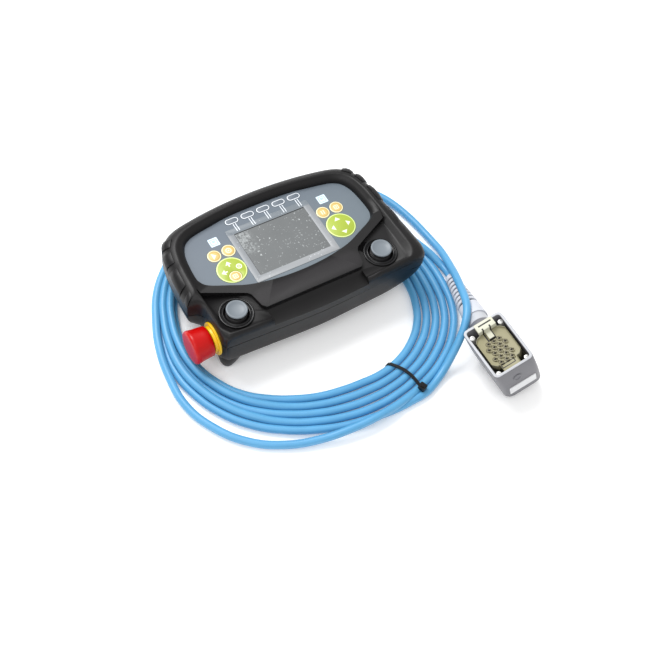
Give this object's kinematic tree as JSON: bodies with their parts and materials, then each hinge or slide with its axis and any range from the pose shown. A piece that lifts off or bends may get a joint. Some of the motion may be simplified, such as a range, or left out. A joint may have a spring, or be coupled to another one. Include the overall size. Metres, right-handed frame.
{
  "type": "teach pendant",
  "caption": "Handheld operator panel with a display, membrane keys, thumb joysticks, an emergency stop, an enabling switch and a coiled cable with a plug.",
  "frame": {"origin": "on the rear rest pad's face, under the centre of the display", "axes": "+X to the operator's right along the panel, +Y away from the operator, +Z out of the panel's face"},
  "size_m": [0.3303, 0.336, 0.0681],
  "materials": {
    "housing_plastic": "soft matte",
    "grip_rubber": "matte",
    "steel": "satin",
    "overlay_film": "satin",
    "screen": "glossy",
    "circuit": "satin",
    "green_key": "satin",
    "yellow_key": "satin",
    "black_plastic": "satin",
    "skirt_rubber": "matte",
    "nylon": "satin",
    "red_plastic": "glossy",
    "yellow_plastic": "glossy",
    "light_plastic": "satin",
    "hood_metal": "satin",
    "light_rubber": "matte",
    "insert_plastic": "satin",
    "contact_brass": "polished",
    "cable_jacket": "satin"
  },
  "bodies": {
    "housing": {"front_shell": "housing_plastic", "rear_shell": "housing_plastic", "shell_seal": "grip_rubber", "left_grip": "grip_rubber", "right_grip": "grip_rubber", "rear_cover": "housing_plastic", "rest_pad": "grip_rubber", "housing_screws": "steel", "cover_screws": "steel", "keypad_overlay": "overlay_film", "display_frame": "overlay_film", "display_window": "screen", "lcd_module": "screen", "main_board": "circuit", "left_stick_collar": "black_plastic", "left_stick_base": "black_plastic", "right_stick_collar": "black_plastic", "right_stick_base": "black_plastic", "estop_collar": "yellow_plastic", "estop_nut": "black_plastic", "estop_contacts": "black_plastic", "enabling_switch": "black_plastic", "gland_body": "black_plastic", "gland_nut": "black_plastic", "gland_boot": "grip_rubber", "plug_hood": "hood_metal", "plug_seal": "light_rubber", "plug_insert": "insert_plastic", "plug_contacts": "contact_brass", "plug_latch": "insert_plastic", "plug_screws": "steel", "plug_nut": "light_rubber", "plug_boot": "light_rubber", "cable_lead": "cable_jacket", "cable_coil": "cable_jacket", "cable_tail": "cable_jacket", "cable_tie": "black_plastic"},
    "left_pad_key_body": {"left_pad_key": "green_key"},
    "left_stop_key_body": {"left_stop_key": "yellow_key"},
    "left_outer_key_body": {"left_outer_key": "yellow_key"},
    "left_inner_key_body": {"left_inner_key": "yellow_key"},
    "right_pad_key_body": {"right_pad_key": "green_key"},
    "right_inner_key_body": {"right_inner_key": "yellow_key"},
    "right_outer_key_body": {"right_outer_key": "yellow_key"},
    "soft_key_1_body": {"soft_key_1": "overlay_film"},
    "soft_key_2_body": {"soft_key_2": "overlay_film"},
    "soft_key_3_body": {"soft_key_3": "overlay_film"},
    "soft_key_4_body": {"soft_key_4": "overlay_film"},
    "soft_key_5_body": {"soft_key_5": "overlay_film"},
    "left_gimbal": {"left_stick_gimbal": "nylon"},
    "left_stick": {"left_stick_shaft": "steel", "left_stick_skirt": "skirt_rubber", "left_stick_cap": "nylon"},
    "right_gimbal": {"right_stick_gimbal": "nylon"},
    "right_stick": {"right_stick_shaft": "steel", "right_stick_skirt": "skirt_rubber", "right_stick_cap": "nylon"},
    "estop_button": {"estop_stem": "black_plastic"},
    "estop_mushroom": {"estop_head": "red_plastic"},
    "enabling_lever_body": {"enabling_lever": "light_plastic"}
  },
  "joints": [
    {"name": "left_pad_key_press", "type": "slide", "parent": "housing", "child": "left_pad_key_body", "axis": [0, 0, -1], "range_m": [0, 0.0004], "stiffness_N_per_m": 1500},
    {"name": "left_stop_key_press", "type": "slide", "parent": "housing", "child": "left_stop_key_body", "axis": [0, 0, -1], "range_m": [0, 0.0004], "stiffness_N_per_m": 1500},
    {"name": "left_outer_key_press", "type": "slide", "parent": "housing", "child": "left_outer_key_body", "axis": [0, 0, -1], "range_m": [0, 0.0004], "stiffness_N_per_m": 1500},
    {"name": "left_inner_key_press", "type": "slide", "parent": "housing", "child": "left_inner_key_body", "axis": [0, 0, -1], "range_m": [0, 0.0004], "stiffness_N_per_m": 1500},
    {"name": "right_pad_key_press", "type": "slide", "parent": "housing", "child": "right_pad_key_body", "axis": [0, 0, -1], "range_m": [0, 0.0004], "stiffness_N_per_m": 1500},
    {"name": "right_inner_key_press", "type": "slide", "parent": "housing", "child": "right_inner_key_body", "axis": [0, 0, -1], "range_m": [0, 0.0004], "stiffness_N_per_m": 1500},
    {"name": "right_outer_key_press", "type": "slide", "parent": "housing", "child": "right_outer_key_body", "axis": [0, 0, -1], "range_m": [0, 0.0004], "stiffness_N_per_m": 1500},
    {"name": "soft_key_1_press", "type": "slide", "parent": "housing", "child": "soft_key_1_body", "axis": [0, 0, -1], "range_m": [0, 0.0004], "stiffness_N_per_m": 1500},
    {"name": "soft_key_2_press", "type": "slide", "parent": "housing", "child": "soft_key_2_body", "axis": [0, 0, -1], "range_m": [0, 0.0004], "stiffness_N_per_m": 1500},
    {"name": "soft_key_3_press", "type": "slide", "parent": "housing", "child": "soft_key_3_body", "axis": [0, 0, -1], "range_m": [0, 0.0004], "stiffness_N_per_m": 1500},
    {"name": "soft_key_4_press", "type": "slide", "parent": "housing", "child": "soft_key_4_body", "axis": [0, 0, -1], "range_m": [0, 0.0004], "stiffness_N_per_m": 1500},
    {"name": "soft_key_5_press", "type": "slide", "parent": "housing", "child": "soft_key_5_body", "axis": [0, 0, -1], "range_m": [0, 0.0004], "stiffness_N_per_m": 1500},
    {"name": "left_stick_pitch", "type": "hinge", "parent": "housing", "child": "left_gimbal", "pos_m": [-0.081, -0.055, 0.044], "axis": [1, 0, 0], "range_deg": [-12, 12], "stiffness_Nm_per_rad": 0.05},
    {"name": "left_stick_roll", "type": "hinge", "parent": "left_gimbal", "child": "left_stick", "pos_m": [-0.081, -0.055, 0.044], "axis": [0, 1, 0], "range_deg": [-12, 12], "stiffness_Nm_per_rad": 0.05},
    {"name": "right_stick_pitch", "type": "hinge", "parent": "housing", "child": "right_gimbal", "pos_m": [0.081, -0.055, 0.044], "axis": [1, 0, 0], "range_deg": [-12, 12], "stiffness_Nm_per_rad": 0.05},
    {"name": "right_stick_roll", "type": "hinge", "parent": "right_gimbal", "child": "right_stick", "pos_m": [0.081, -0.055, 0.044], "axis": [0, 1, 0], "range_deg": [-12, 12], "stiffness_Nm_per_rad": 0.05},
    {"name": "estop_press", "type": "slide", "parent": "housing", "child": "estop_button", "axis": [1, 0, 0], "range_m": [0, 0.004], "stiffness_N_per_m": 1500},
    {"name": "estop_twist", "type": "hinge", "parent": "estop_button", "child": "estop_mushroom", "pos_m": [-0.12, -0.056, 0.033], "axis": [1, 0, 0], "range_deg": [0, 45], "stiffness_Nm_per_rad": 0.05},
    {"name": "enabling_press", "type": "slide", "parent": "housing", "child": "enabling_lever_body", "axis": [0, 0, 1], "range_m": [0, 0.003], "stiffness_N_per_m": 1200}
  ]
}
